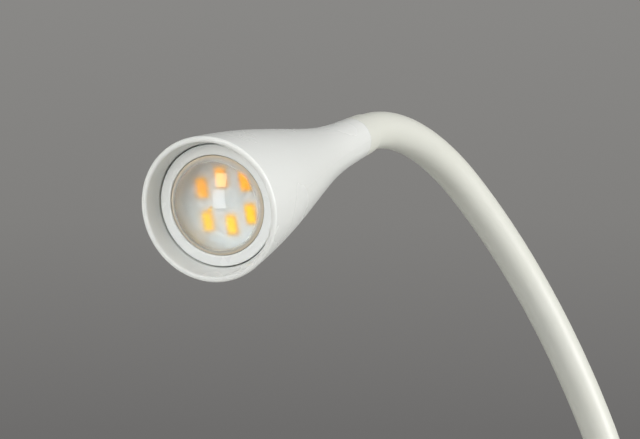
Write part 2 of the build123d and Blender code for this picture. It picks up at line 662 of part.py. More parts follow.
FERRULE_FOOT = NECK_FOOT.Z - FOOT_FERRULE_L
CABLE_FOOT = FERRULE_FOOT - CABLE_R
WIRE_X = WIRE_OUTER_R + SNUG
WIRE_BEND = 2.5 * WIRE_OUTER_R
FRONT_BLADE = SWITCH_Y - BLADE_PITCH / 2 - BLADE_T / 2 - SNUG
REAR_BLADE = SWITCH_Y + BLADE_PITCH / 2 - BLADE_T / 2 - SNUG
WIRE_TOP = CABLE_FOOT - SNUG
inner_wires = [
    wire_run(
        [
            (WIRE_X, NECK_Y, WIRE_TOP), (WIRE_X, NECK_Y, BLOCK_AXIS_Z),
            (WIRE_X, FRONT_BLADE, BLOCK_AXIS_Z),
        ],
        WIRE_OUTER_R, WIRE_BEND,
    ),
    wire_run(
        [
            (-WIRE_X, NECK_Y, WIRE_TOP), (-WIRE_X, NECK_Y, BLOCK_AXIS_Z),
            (-BLOCK_PITCH / 2, BLOCK_REAR + BLOCK_L, BLOCK_AXIS_Z),
            (-BLOCK_PITCH / 2, BLOCK_REAR - BLOCK_L / 3, BLOCK_AXIS_Z),
        ],
        WIRE_OUTER_R, WIRE_BEND,
    ),
    wire_run(
        [
            (0, REAR_BLADE, BLOCK_AXIS_Z), (0, REAR_BLADE - BLADE_W, BLOCK_AXIS_Z),
            (BLOCK_PITCH, FRONT_BLADE, BLOCK_AXIS_Z), (BLOCK_PITCH, BLOCK_REAR + 2 * BLOCK_L, BLOCK_AXIS_Z),
            (BLOCK_PITCH / 2, BLOCK_REAR + BLOCK_L, BLOCK_AXIS_Z),
            (BLOCK_PITCH / 2, BLOCK_REAR - BLOCK_L / 3, BLOCK_AXIS_Z),
        ],
        WIRE_OUTER_R, WIRE_BEND,
    ),
]
with BuildPart() as housing_wires:
    add(inner_wires)
save(housing_wires, "housing_wires")

INNER_FACE = TAIL_Y - HOUSING_WALL - SNUG
with BuildPart() as cord_grommet:
    with BuildSketch(Plane.YZ):
        with BuildLine():
            Polyline(
                (INNER_FACE - GROMMET_LIP_T, GROMMET_Z + GROMMET_BORE_R),
                (TAIL_Y + SNUG + GROMMET_LIP_T, GROMMET_Z + GROMMET_BORE_R),
                (TAIL_Y + SNUG + GROMMET_LIP_T, GROMMET_Z + GROMMET_FLANGE_R - GROMMET_LIP_T / 2),
                (TAIL_Y + SNUG, GROMMET_Z + GROMMET_FLANGE_R),
                (TAIL_Y + SNUG, GROMMET_Z + GROMMET_R),
                (INNER_FACE, GROMMET_Z + GROMMET_R),
                (INNER_FACE, GROMMET_Z + GROMMET_R + GROMMET_WALL),
                (INNER_FACE - GROMMET_LIP_T, GROMMET_Z + GROMMET_R),
                close=True,
            )
        make_face()
    revolve(axis=Axis((0, 0, GROMMET_Z), (0, 1, 0)))
save(cord_grommet, "cord_grommet")

# Foot of the neck: threaded ferrule, washer and nut under the roof
with BuildPart() as foot_ferrule:
    with BuildSketch(NECK_STAND.offset(FERRULE_FOOT)):
        Circle(FERRULE_R)
        Circle(FERRULE_BORE / 2, mode=Mode.SUBTRACT)
    extrude(amount=FOOT_FERRULE_L - SNUG)
    with BuildSketch(NECK_STAND.offset(NECK_FOOT.Z - SNUG)):
        Circle(SPIGOT_R)
        Circle(FERRULE_BORE / 2, mode=Mode.SUBTRACT)
    extrude(amount=SPIGOT_L)
save(foot_ferrule, "foot_ferrule")

WASHER_FOOT = ROOF_UNDER - SNUG - WASHER_T
with BuildPart() as foot_washer:
    with BuildSketch(NECK_STAND.offset(WASHER_FOOT)):
        Circle(WASHER_R)
        Circle(FERRULE_R + RUN, mode=Mode.SUBTRACT)
    extrude(amount=WASHER_T)
save(foot_washer, "foot_washer")

with BuildPart() as foot_nut:
    with BuildSketch(NECK_STAND.offset(WASHER_FOOT - SNUG - FOOT_NUT_T)):
        RegularPolygon(FOOT_NUT_FLATS / 2, 6, major_radius=False)
        Circle(FERRULE_R + SNUG, mode=Mode.SUBTRACT)
    extrude(amount=FOOT_NUT_T)
save(foot_nut, "foot_nut")

# Course of the neck: a straight foot, a lean, a long bow and the hook behind the head
UP = Vector(0, 0, 1)
HEAD_IN = Vector(
    cos(radians(HEAD_PITCH)) * sin(radians(HEAD_YAW)),
    cos(radians(HEAD_PITCH)) * cos(radians(HEAD_YAW)),
    sin(radians(HEAD_PITCH)),
)
LEAN_AXIS = Vector(0, -1, 0)
LEANING = UP.rotate(Axis((0, 0, 0), LEAN_AXIS), NECK_LEAN)
HOOK_AXIS = LEANING.cross(-HEAD_IN).normalized()
BOW_TURN = LEANING.get_angle(-HEAD_IN) - HOOK_TURN
NECK_RUNS = (
    (NECK_RISE, LEAN_AXIS, None),
    (LEAN_R * radians(NECK_LEAN), LEAN_AXIS, LEAN_R),
    (BOW_R * radians(BOW_TURN), HOOK_AXIS, BOW_R),
    (HOOK_R * radians(HOOK_TURN), HOOK_AXIS, HOOK_R),
)
NECK_L = sum(run[0] for run in NECK_RUNS)
PIECE_L = NECK_L / NECK_PIECES


def neck_at(distance):
    """Point and heading of the neck's centre line at a distance from its foot."""
    point, heading = NECK_FOOT, UP
    for length, axis, radius in NECK_RUNS:
        step = min(distance, length)
        distance -= step
        if radius is None:
            point = point + heading * step
            continue
        spin = Axis((0, 0, 0), axis)
        turn = degrees(step / radius)
        centre = point + axis.cross(heading) * radius
        point = centre + (point - centre).rotate(spin, turn)
        heading = heading.rotate(spin, turn)
    return point, heading


def neck_route(start, end):
    """The centre line between two distances, as straight runs and arcs."""
    mark = 0.0
    with BuildLine() as route:
        for length, _, radius in NECK_RUNS:
            low, high = max(mark, start), min(mark + length, end)
            mark += length
            if high - low < SNUG:
                continue
            if radius is None:
                Line(neck_at(low)[0], neck_at(high)[0])
            else:
                ThreePointArc(neck_at(low)[0], neck_at((low + high) / 2)[0], neck_at(high)[0])
    return route.line


def neck_piece(number, outer, inner, tail):
    """One length of sleeve, core or cable. Its end is rounded about the next pivot and its
    start is hollowed round the pivot before it, so that neighbours can swing."""
    start, end = (number - 1) * PIECE_L, number * PIECE_L
    foot, rise = neck_at(start)
    top, out = neck_at(end)
    across = Plane(origin=foot, z_dir=rise).x_dir
    side = Plane(origin=top, z_dir=out).x_dir
    route = neck_route(start, end)
    with BuildPart() as length:
        with BuildSketch(Plane(origin=foot, z_dir=rise)) as ring:
            Circle(outer)
            if inner > 0:
                Circle(inner, mode=Mode.SUBTRACT)
        sweep(path=route)
        if number == 1 and tail > 0:
            extrude(ring.sketch, amount=-tail)
        if number < NECK_PIECES:
            with BuildSketch(Plane(origin=top, x_dir=side, z_dir=side.cross(out))):
                with BuildLine():
                    lip = sqrt(NECK_R**2 - outer**2)
                    crown = sqrt(NECK_R**2 - inner**2)
                    middle = (outer + inner) / 2
                    if lip > 0:
                        Line((outer, 0), (outer, lip))
                    ThreePointArc((outer, lip), (middle, sqrt(NECK_R**2 - middle**2)), (inner, crown))
                    Polyline((inner, crown), (inner, 0), (outer, 0))
                make_face()
            revolve(axis=Axis(top, out))
        if number > 1:
            ball = NECK_R + NECK_PLAY
            rim = sqrt(ball**2 - NECK_TRIM**2)
            with BuildSketch(Plane(origin=foot, x_dir=across, z_dir=across.cross(rise))):
                with BuildLine():
                    Polyline((0, ball), (0, 0), (2 * ball, 0), (2 * ball, NECK_TRIM), (rim, NECK_TRIM))
                    ThreePointArc((rim, NECK_TRIM), (ball * sqrt(0.5), ball * sqrt(0.5)), (0, ball))
                make_face()
            revolve(axis=Axis(foot, rise), mode=Mode.SUBTRACT)
    return length


for number in range(1, NECK_PIECES + 1):
    save(neck_piece(number, NECK_R, NECK_R - SLEEVE_WALL, 0), f"neck_sleeve_{number}")
    save(neck_piece(number, CORE_R, CORE_IN_R, 0), f"neck_core_{number}")
    save(neck_piece(number, CABLE_R, 0, NECK_FOOT.Z - CABLE_FOOT), f"neck_cable_{number}")

print(f"neck: {NECK_L:.1f} mm long, bow turns {BOW_TURN:.1f} degrees")
for number in range(1, NECK_PIECES):
    point, heading = neck_at(number * PIECE_L)
    print(f"neck pivot {number}: {tuple(point)} heading {tuple(heading)}")

# Head: everything is placed by its station behind the mouth, along the head's axis
HEAD_L = SHADE_L + CUFF_L
MOUTH = neck_at(NECK_L)[0] - HEAD_IN * HEAD_L
HEAD_SIDE = HEAD_IN.cross(UP).normalized()
HEAD_AXIS = Axis(MOUTH, HEAD_IN)
HEAD_SECTION = Plane(origin=MOUTH, x_dir=HEAD_SIDE, z_dir=HEAD_SIDE.cross(HEAD_IN))
HEAD_FACE = Plane(origin=MOUTH, x_dir=HEAD_SIDE, z_dir=HEAD_IN)
COLLAR_S = SHADE_L - COLLAR_L
print(f"mouth centre {tuple(MOUTH)}, axis {tuple(HEAD_IN)}")


def turned(points):
    """A piece turned about the head's axis from (radius, station) corners."""
    with BuildPart() as piece:
        with BuildSketch(HEAD_SECTION):
            with BuildLine():
                Polyline(*points, close=True)
            make_face()
        revolve(axis=HEAD_AXIS)
    return piece


def flare(wall):
    """Points of the trumpet curve from mouth to collar, drawn in by a wall, with its end slopes."""
    points = [
        (MOUTH_R - wall, 0),
        (SHOULDER_R - wall, SHOULDER_S),
        (SEAT_R - wall, SEAT_S),
        (COLLAR_R - wall, COLLAR_S),
    ]
    slopes = ((-MOUTH_SLOPE, 1), (SHADE_REAR_R - COLLAR_R, COLLAR_L))
    return points, slopes


with BuildPart() as lamp_shade:
    outer_flare, flare_slopes = flare(0)
    inner_flare, flare_slopes = flare(SHADE_WALL)
    with BuildSketch(HEAD_SECTION):
        with BuildLine():
            Spline(*outer_flare, tangents=flare_slopes)
            Polyline(
                outer_flare[-1], (SHADE_REAR_R, SHADE_L), (FERRULE_R + RUN, SHADE_L),
                (FERRULE_R + RUN, COLLAR_S), inner_flare[-1],
            )
            Spline(*inner_flare, tangents=flare_slopes)
            Line(inner_flare[0], outer_flare[0])
        make_face()
        with BuildLine():
            ring_bore_r = BULB_FACE_R + RING_PLAY
            Polyline(
                inner_flare[0], (ring_bore_r, LEAD_IN_L), (ring_bore_r, RING_SEAT_S),
                (ring_bore_r + SHADE_WALL / 2, RING_SEAT_S), (MOUTH_R - SHADE_WALL / 2, SHADE_WALL / 2),
                close=True,
            )
        make_face()
    revolve(axis=HEAD_AXIS)
    rim = lamp_shade.edges().filter_by(GeomType.CIRCLE).sort_by(HEAD_AXIS)[:2]
    fillet(rim, RIM_ROUND)
save(lamp_shade, "lamp_shade")

# Cuff, neck ferrule and ring nut at the rear of the shade
CUFF_END = HEAD_L - SNUG
save(turned([
    (FERRULE_R + RUN, SHADE_L + SNUG), (SHADE_REAR_R, SHADE_L + SNUG), (CUFF_R, CUFF_END - CUFF_BEVEL),
    (NECK_R, CUFF_END), (FERRULE_R + RUN, CUFF_END),
]), "neck_cuff")

FERRULE_HEAD = COLLAR_S - SNUG - RING_NUT_T - HEAD_FERRULE_FREE
TONGUE_END = HEAD_L + HEAD_SPIGOT_L
save(turned([
    (FERRULE_BORE / 2, FERRULE_HEAD), (FERRULE_R, FERRULE_HEAD), (FERRULE_R, CUFF_END),
    (SPIGOT_R, CUFF_END), (SPIGOT_R, TONGUE_END), (FERRULE_BORE / 2, TONGUE_END),
]), "head_ferrule")

RING_NUT_R = COLLAR_R - SHADE_WALL - FIT
with BuildPart() as ring_nut:
    with BuildSketch(HEAD_FACE.offset(COLLAR_S - SNUG)):
        Circle(RING_NUT_R)
        Circle(FERRULE_R + SNUG, mode=Mode.SUBTRACT)
    extrude(amount=-RING_NUT_T)
    with BuildSketch(HEAD_FACE.offset(COLLAR_S - SNUG - RING_NUT_T)):
        Rectangle(3 * RING_NUT_R, FERRULE_WALL)
    extrude(amount=RING_NUT_T / 3, mode=Mode.SUBTRACT)
save(ring_nut, "ring_nut")

# Lampholder on its bracket, seated where the shade narrows
BRACKET_FRONT = SEAT_S - BRACKET_T
HOLDER_REAR = BRACKET_FRONT - SNUG
HOLDER_FRONT = HOLDER_REAR - HOLDER_L
PIN_SPOTS = [(side * PIN_PITCH / 2, 0) for side in (-1, 1)]
HOLDER_SCREW_SPOTS = [(0, side * HOLDER_SCREW_PITCH / 2) for side in (-1, 1)]
CONTACT_IN_R = LEAD_R + RUN
CONTACT_R = CONTACT_IN_R + CONTACT_WALL
CONTACT_FRONT = HOLDER_FRONT + 2 * LEAD_R

with BuildPart() as holder_bracket:
    with BuildSketch(HEAD_FACE.offset(BRACKET_FRONT)):
        Circle(SEAT_R - SHADE_WALL - FIT)
        Circle(BRACKET_HOLE_R, mode=Mode.SUBTRACT)
        with Locations(HOLDER_SCREW_SPOTS):
            Circle(HOLDER_SCREW_R + FIT, mode=Mode.SUBTRACT)
    extrude(amount=BRACKET_T)
save(holder_bracket, "holder_bracket")

with BuildPart() as lampholder:
    with BuildSketch(HEAD_FACE.offset(HOLDER_FRONT)):
        Circle(HOLDER_R)
    extrude(amount=HOLDER_L)
    with BuildSketch(HEAD_FACE.offset(HOLDER_FRONT)):
        with Locations(PIN_SPOTS):
            Circle(CONTACT_R + SNUG)
    extrude(amount=CONTACT_FRONT - HOLDER_FRONT + CONTACT_L + SNUG, mode=Mode.SUBTRACT)
    with BuildSketch(HEAD_FACE.offset(HOLDER_FRONT)):
        with Locations(PIN_SPOTS):
            Circle(LEAD_WIRE_R + FIT)
    extrude(amount=HOLDER_L, mode=Mode.SUBTRACT)
    with BuildSketch(HEAD_FACE.offset(HOLDER_REAR)):
        with Locations(HOLDER_SCREW_SPOTS):
            Circle(HOLDER_SCREW_R + SNUG)
    extrude(amount=-HOLDER_SCREW_L, mode=Mode.SUBTRACT)
save(lampholder, "lampholder")

with BuildPart() as holder_contacts:
    with BuildSketch(HEAD_FACE.offset(CONTACT_FRONT)):
        with Locations(PIN_SPOTS):
            Circle(CONTACT_R)
            Circle(CONTACT_IN_R, mode=Mode.SUBTRACT)
    extrude(amount=CONTACT_L)
save(holder_contacts, "holder_contacts")

short_screws = [
    screw(
        HEAD_FACE.offset(SEAT_S + SNUG).from_local_coords(Vector(x, y, 0)), -HEAD_IN,
        HOLDER_SCREW_R, HOLDER_SCREW_L, HOLDER_SCREW_HEAD_R, HOLDER_SCREW_HEAD_T,
    )
    for x, y in HOLDER_SCREW_SPOTS
]
with BuildPart() as holder_screws:
    add(short_screws)
save(holder_screws, "holder_screws")

WIRE_START = CONTACT_FRONT + CONTACT_L + SNUG
WIRE_SPREAD = SEAT_S + 2 * LEAD_WIRE_R + BRACKET_T
head_wires = [
    wire_run(
        [
            HEAD_FACE.from_local_coords(Vector(side * PIN_PITCH / 2, 0, WIRE_START)),
            HEAD_FACE.from_local_coords(Vector(side * PIN_PITCH / 2, 0, WIRE_SPREAD)),
            HEAD_FACE.from_local_coords(Vector(side * LEAD_WIRE_GAP, 0, FERRULE_HEAD)),
            HEAD_FACE.from_local_coords(Vector(side * LEAD_WIRE_GAP, 0, CUFF_END)),
        ],
        LEAD_WIRE_R, LEAD_WIRE_BEND,
    )
    for side in (-1, 1)
]
with BuildPart() as holder_wires:
    add(head_wires)
save(holder_wires, "holder_wires")

# Reflector bulb, plugged into the lampholder
BULB_END = HOLDER_FRONT - SNUG
BULB_FACE_S = BULB_END - BULB_L
BASE_FRONT = BULB_END - BASE_L
CUP_FRONT = BULB_FACE_S + RING_T + SNUG
CUP_REAR = BASE_FRONT - SNUG
CUP_FLOOR = CUP_REAR - CUP_WALL
BOARD_FRONT = BULB_FACE_S + BOARD_S
BOARD_REAR = BOARD_FRONT + BOARD_T
LENS_BORE_R = LENS_R + FIT
LENS_EDGE = BULB_FACE_S + LENS_SET_BACK
LENS_SPHERE_R = (LENS_R**2 + LENS_RISE**2) / (2 * LENS_RISE)

with BuildPart() as bulb_ring:
    with BuildSketch(HEAD_FACE.offset(BULB_FACE_S)):
        Circle(BULB_FACE_R)
        Circle(LENS_BORE_R, mode=Mode.SUBTRACT)
    extrude(amount=RING_T)
    fillet(bulb_ring.edges().filter_by(GeomType.CIRCLE).sort_by(HEAD_AXIS)[:2], RING_T / 6)
save(bulb_ring, "bulb_ring")

save(turned([
    (LENS_BORE_R, CUP_FRONT), (BULB_FACE_R, CUP_FRONT), (BULB_FACE_R, CUP_FRONT + CUP_COLLAR),
    (CUP_NECK_R, CUP_REAR), (PIN_PITCH / 2 + LEAD_R, CUP_REAR), (PIN_PITCH / 2 + LEAD_R, CUP_FLOOR),
    (CUP_NECK_R - CUP_WALL, CUP_FLOOR), (LENS_BORE_R - BOARD_LEDGE, BOARD_REAR + SNUG),
    (LENS_BORE_R, BOARD_REAR + SNUG),
]), "bulb_cup")

with BuildPart() as bulb_lens:
    with BuildSketch(HEAD_SECTION):
        with BuildLine():
            inner_sphere = LENS_SPHERE_R - LENS_T
            centre_s = LENS_EDGE - LENS_RISE + LENS_SPHERE_R
            inner_edge_r = LENS_R - LENS_T
            inner_edge_s = centre_s - sqrt(inner_sphere**2 - inner_edge_r**2)
            outer_mid_r = LENS_R / 2
            inner_mid_r = inner_edge_r / 2
            ThreePointArc(
                (0, centre_s - LENS_SPHERE_R),
                (outer_mid_r, centre_s - sqrt(LENS_SPHERE_R**2 - outer_mid_r**2)),
                (LENS_R, LENS_EDGE),
            )
            Polyline(
                (LENS_R, LENS_EDGE), (LENS_R, BOARD_FRONT - SNUG),
                (inner_edge_r, BOARD_FRONT - SNUG), (inner_edge_r, inner_edge_s),
            )
            ThreePointArc(
                (inner_edge_r, inner_edge_s),
                (inner_mid_r, centre_s - sqrt(inner_sphere**2 - inner_mid_r**2)),
                (0, centre_s - inner_sphere),
            )
            Line((0, centre_s - inner_sphere), (0, centre_s - LENS_SPHERE_R))
        make_face()
    revolve(axis=HEAD_AXIS)
save(bulb_lens, "bulb_lens")

with BuildPart() as led_board:
    with BuildSketch(HEAD_FACE.offset(BOARD_FRONT)):
        Circle(LENS_R)
    extrude(amount=BOARD_T)
save(led_board, "led_board")

LED_SPOTS = [(side * u, side * v) for side in (1, -1) for u, v in LED_PLACES]
LED_FRONT = BOARD_FRONT - SNUG - LED_T
with BuildPart() as led_packages:
    with BuildSketch(HEAD_FACE.offset(LED_FRONT)):
        with Locations(LED_SPOTS):
            Rectangle(LED_W, LED_L, rotation=-LED_TILT)
    extrude(amount=LED_T)
save(led_packages, "led_packages")

with BuildPart() as led_windows:
    with BuildSketch(HEAD_FACE.offset(LED_FRONT - SNUG)):
        with Locations(LED_SPOTS):
            RectangleRounded(LED_WINDOW_W, LED_WINDOW_L, LED_WINDOW_W / 4, rotation=-LED_TILT)
    extrude(amount=-LED_WINDOW_T)
save(led_windows, "led_windows")

DRIVER_REAR = CUP_FLOOR - SNUG
DRIVER_PLANE = HEAD_SECTION.offset(-DRIVER_T / 2)
with BuildPart() as bulb_driver:
    with BuildSketch(DRIVER_PLANE):
        with Locations((0, DRIVER_REAR - DRIVER_L / 2)):
            Rectangle(DRIVER_W, DRIVER_L)
    extrude(amount=DRIVER_T)
    with BuildSketch(HEAD_FACE.offset(DRIVER_REAR - DRIVER_L / 2)):
        with Locations((0, DRIVER_T / 2 + CAPACITOR_R - CAPACITOR_BED)):
            Circle(CAPACITOR_R)
    extrude(amount=-CAPACITOR_L)
    with BuildSketch(DRIVER_PLANE):
        with Locations((0, DRIVER_REAR - DRIVER_L / 4)):
            Rectangle(CHIP_W, CHIP_L)
    extrude(amount=DRIVER_T + CHIP_T)
save(bulb_driver, "bulb_driver")

with BuildPart() as bulb_base:
    with BuildSketch(HEAD_FACE.offset(BASE_FRONT)):
        Circle(BASE_R)
        with Locations(PIN_SPOTS):
            Circle(LEAD_R + SNUG, mode=Mode.SUBTRACT)
    extrude(amount=BASE_L)
save(bulb_base, "bulb_base")

with BuildPart() as bulb_pins:
    with BuildSketch(HEAD_FACE.offset(BASE_FRONT)):
        with Locations(PIN_SPOTS):
            Circle(LEAD_R)
    extrude(amount=BASE_L + LEAD_FREE)
save(bulb_pins, "bulb_pins")
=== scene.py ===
# %% [markdown]
# # A clip-on reading lamp
# The lamp has a white trumpet-shaped head with a reflector bulb in its mouth. A bendable neck carries it,
# and a spring clip holds the neck to a shelf. The CAD frame gives every piece its place and its joint, so
# this lesson only dresses it: finishes for all pieces, and new meshes where the rigid CAD pieces can't bend
# as the real ones do.

# %% Open the frame
import json
from math import cos, degrees, pi, radians, sin

import bmesh
import bpy
from mathutils import Matrix, Vector

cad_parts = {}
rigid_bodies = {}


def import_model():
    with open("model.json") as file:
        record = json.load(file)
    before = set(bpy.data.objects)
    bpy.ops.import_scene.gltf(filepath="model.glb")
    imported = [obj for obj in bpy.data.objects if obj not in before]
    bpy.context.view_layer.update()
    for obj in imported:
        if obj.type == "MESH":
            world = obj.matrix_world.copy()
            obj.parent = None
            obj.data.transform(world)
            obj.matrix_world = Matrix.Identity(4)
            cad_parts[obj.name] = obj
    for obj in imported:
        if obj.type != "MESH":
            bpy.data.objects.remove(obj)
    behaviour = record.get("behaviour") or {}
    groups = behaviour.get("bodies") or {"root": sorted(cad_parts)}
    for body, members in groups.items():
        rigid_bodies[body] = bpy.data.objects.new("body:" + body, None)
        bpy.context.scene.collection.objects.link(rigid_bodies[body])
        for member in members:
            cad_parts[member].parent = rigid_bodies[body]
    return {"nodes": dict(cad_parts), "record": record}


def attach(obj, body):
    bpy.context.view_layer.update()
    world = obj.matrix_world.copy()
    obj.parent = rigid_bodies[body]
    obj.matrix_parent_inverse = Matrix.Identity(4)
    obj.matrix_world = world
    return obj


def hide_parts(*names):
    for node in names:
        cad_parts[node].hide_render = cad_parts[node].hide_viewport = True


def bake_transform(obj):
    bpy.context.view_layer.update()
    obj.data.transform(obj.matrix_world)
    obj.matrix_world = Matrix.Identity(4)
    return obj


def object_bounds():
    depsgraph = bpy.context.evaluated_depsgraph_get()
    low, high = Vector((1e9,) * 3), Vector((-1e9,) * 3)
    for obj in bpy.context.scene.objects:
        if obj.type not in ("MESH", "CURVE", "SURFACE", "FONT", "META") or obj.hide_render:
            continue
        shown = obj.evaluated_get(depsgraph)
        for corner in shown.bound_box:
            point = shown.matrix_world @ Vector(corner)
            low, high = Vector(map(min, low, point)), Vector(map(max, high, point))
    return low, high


for leftover in list(bpy.data.objects):
    bpy.data.objects.remove(leftover)
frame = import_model()
bpy.context.view_layer.update()
cad_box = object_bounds()
MM = 0.001

# %% [markdown]
# ## Camera
# The photograph was taken level with the mouth, through a long lens, from about 0.8 m. A long lens keeps the
# head's far end nearly as large as its near end. The place and focal length come from fitting the mouth's
# ellipse and the shade's outline.

# %% Camera
SENSOR_MM, LENS_MM = 36.0, 168.98
CAMERA_PLACE = (-0.101972, -0.961539, 0.240008)
LEVEL_ALONG_Y = (radians(90), 0, 0)
camera_data = bpy.data.cameras.new("camera")
camera_data.sensor_fit = "HORIZONTAL"
camera_data.sensor_width = SENSOR_MM
camera_data.lens = LENS_MM
camera = bpy.data.objects.new("camera", camera_data)
camera.location = CAMERA_PLACE
camera.rotation_euler = LEVEL_ALONG_Y
bpy.context.scene.collection.objects.link(camera)
bpy.context.scene.camera = camera
bpy.context.scene.view_settings.view_transform = "Standard"
print("camera lens", LENS_MM, "mm at", CAMERA_PLACE)

# %% [markdown]
# ## Colours and nodes
# Colours are picked as sRGB hex codes, but shaders work in linear light, so one function converts them. A
# second one adds a node, sets its own properties and fills or links its inputs. Every tree below is made with
# these two.


# %% Helpers for node trees
def linear(code):
    """An sRGB colour such as "#e6e8e5" as linear RGBA."""
    channels = [int(code[i:i + 2], 16) / 255 for i in (1, 3, 5)]
    return tuple(c / 12.92 if c <= 0.04045 else ((c + 0.055) / 1.055) ** 2.4 for c in channels) + (1.0,)


def add(tree, kind, settings=None, inputs=None):
    """Adds a node. Settings are its own properties, inputs are values or sockets to link from."""
    new = tree.nodes.new(kind)
    for name, value in (settings or {}).items():
        setattr(new, name, value)
    for name, value in (inputs or {}).items():
        if isinstance(value, bpy.types.NodeSocket):
            tree.links.new(value, new.inputs[name])
        else:
            new.inputs[name].default_value = value
    return new


def begin(name):
    """A new material with an empty tree, and that tree."""
    material = bpy.data.materials.new(name)
    material.use_nodes = True
    material.node_tree.nodes.clear()
    return material, material.node_tree


print("mid grey #808080 is", [round(c, 3) for c in linear("#808080")[:3]], "in linear light")

# %% [markdown]
# ## Course of the neck
# The neck stands straight out of the clip, leans over, bows and ends in a hook behind the head. It is a chain
# of straight runs and arcs, so a short function can walk along it and tell the point and the heading at any
# distance. The sizes are the part's own, in millimetres and degrees.

# %% Walk along the neck
UP = Vector((0, 0, 1))
NECK_FOOT = Vector((0, 35, 27))
NECK_RISE, NECK_LEAN, LEAN_R, BOW_R, HOOK_R, HOOK_TURN = 90.0, 21.1, 150.0, 150.0, 67.0, 56.0
HEAD_YAW, HEAD_PITCH, HEAD_L = radians(24.0), radians(12.33), 110.0
HEAD_IN = Vector((cos(HEAD_PITCH) * sin(HEAD_YAW), cos(HEAD_PITCH) * cos(HEAD_YAW), sin(HEAD_PITCH)))
LEAN_AXIS = Vector((0, -1, 0))
LEANING = Matrix.Rotation(radians(NECK_LEAN), 3, LEAN_AXIS) @ UP
HOOK_AXIS = LEANING.cross(-HEAD_IN).normalized()
BOW_TURN = degrees(LEANING.angle(-HEAD_IN)) - HOOK_TURN
# Each run has its length, the axis that it turns about, and its radius, or None where it is straight.
NECK_RUNS = (
    (NECK_RISE, LEAN_AXIS, None),
    (LEAN_R * radians(NECK_LEAN), LEAN_AXIS, LEAN_R),
    (BOW_R * radians(BOW_TURN), HOOK_AXIS, BOW_R),
    (HOOK_R * radians(HOOK_TURN), HOOK_AXIS, HOOK_R),
)
NECK_L = sum(run[0] for run in NECK_RUNS)


def neck_at(distance):
    """Point and heading of the neck's centre line at a distance from its foot, in millimetres."""
    point, heading = NECK_FOOT.copy(), UP.copy()
    for length, axis, radius in NECK_RUNS:
        step = min(distance, length)
        distance -= step
        if radius is None:
            point = point + heading * step
            continue
        turn = Matrix.Rotation(step / radius, 3, axis)
        centre = point + axis.cross(heading) * radius
        point, heading = centre + turn @ (point - centre), turn @ heading
    return point, heading


MOUTH = neck_at(NECK_L)[0] - HEAD_IN * HEAD_L
print("neck", round(NECK_L, 1), "mm long, mouth centre at", [round(c, 2) for c in MOUTH])

# %% [markdown]
# ## Moulded and extruded finishes
# Most of the lamp is moulded plastic, rubber or ceramic. Such a surface has a colour that drifts a little, a
# gloss that varies from place to place, and a fine relief left by the mould. One recipe gives all three from
# noise on the object's own coordinates, at real sizes in millimetres, so a pattern stays put when the lamp
# moves.

# %% Recipe for a grained surface
NOISE_LOW, NOISE_HIGH = 0.3, 0.7  # most of a noise texture's values lie between these two


def grained(name, pale, deep, drift_mm, grain_mm, depth_mm, gloss, **shader):
    """A finish whose colour drifts between two tones, whose roughness varies between the two gloss
    values, and whose relief has a grain of one size and depth."""
    material, tree = begin(name)
    place = add(tree, "ShaderNodeTexCoord").outputs["Object"]
    drift = add(tree, "ShaderNodeTexNoise", {}, {"Vector": place, "Scale": 1 / (drift_mm * MM), "Detail": 3.0})
    grain = add(tree, "ShaderNodeTexNoise", {}, {"Vector": place, "Scale": 1 / (grain_mm * MM), "Detail": 2.0})
    tone = add(tree, "ShaderNodeMix", {"data_type": "RGBA"}, {
        0: drift.outputs[0], 6: linear(pale), 7: linear(deep)})
    rough = add(tree, "ShaderNodeMapRange", {}, {
        "Value": drift.outputs[0], "From Min": NOISE_LOW, "From Max": NOISE_HIGH,
        "To Min": gloss[0], "To Max": gloss[1]})
    relief = add(tree, "ShaderNodeBump", {}, {
        "Strength": 1.0, "Distance": depth_mm * MM, "Height": grain.outputs[0]})
    surface = add(tree, "ShaderNodeBsdfPrincipled", {}, {
        "Base Color": tone.outputs[2], "Roughness": rough.outputs[0], "Normal": relief.outputs[0],
        **{socket.replace("_", " "): value for socket, value in shader.items()}})
    add(tree, "ShaderNodeOutputMaterial", {}, {"Surface": surface.outputs[0]})
    return material


print("one recipe for plastics, rubber, ceramic and paint")

# %% Plastics, rubber and ceramic
# Gloss ABS from a polished mould: long soft highlights that wander slightly, from the moulding's faint waves.
gloss_abs = grained("gloss_abs", "#edefec", "#e9ebe8", 30, 9.0, 0.012, (0.24, 0.30), IOR=1.53)
# Satin ABS from a spark-eroded mould: an even fine grain that breaks highlights up. The real grain of about
# 0.1 mm is too fine to show, so it is drawn coarser.
satin_abs = grained("satin_abs", "#ecedea", "#e6e7e3", 24, 0.5, 0.02, (0.42, 0.50), IOR=1.53)
# Soft PVC, extruded as a sleeve: a warm white with a waxy, silky sheen.
soft_pvc = grained("soft_pvc", "#e3e4dc", "#dedfd5", 18, 1.4, 0.008, (0.36, 0.44), IOR=1.54)
# Nitrile rubber pads: dark, dry and finely pitted from the mould.
nitrile_rubber = grained("nitrile_rubber", "#47474a", "#3a3a3d", 10, 0.6, 0.05, (0.72, 0.85), IOR=1.52)
# Thermoplastic rubber bush: pale grey and almost without shine.
bush_rubber = grained("bush_rubber", "#b9b9b6", "#adadaa", 9, 0.5, 0.03, (0.60, 0.72), IOR=1.52)
# Polished ABS rocker: dark grey with sharp highlights and faint finger marks.
rocker_abs = grained("rocker_abs", "#4b4d50", "#43454a", 5, 6.0, 0.008, (0.20, 0.34), IOR=1.53)
# Polyamide terminal block: its natural ivory with a dull skin.
natural_nylon = grained("natural_nylon", "#d6d1c1", "#cbc5b2", 6, 0.8, 0.02, (0.45, 0.55), IOR=1.53)
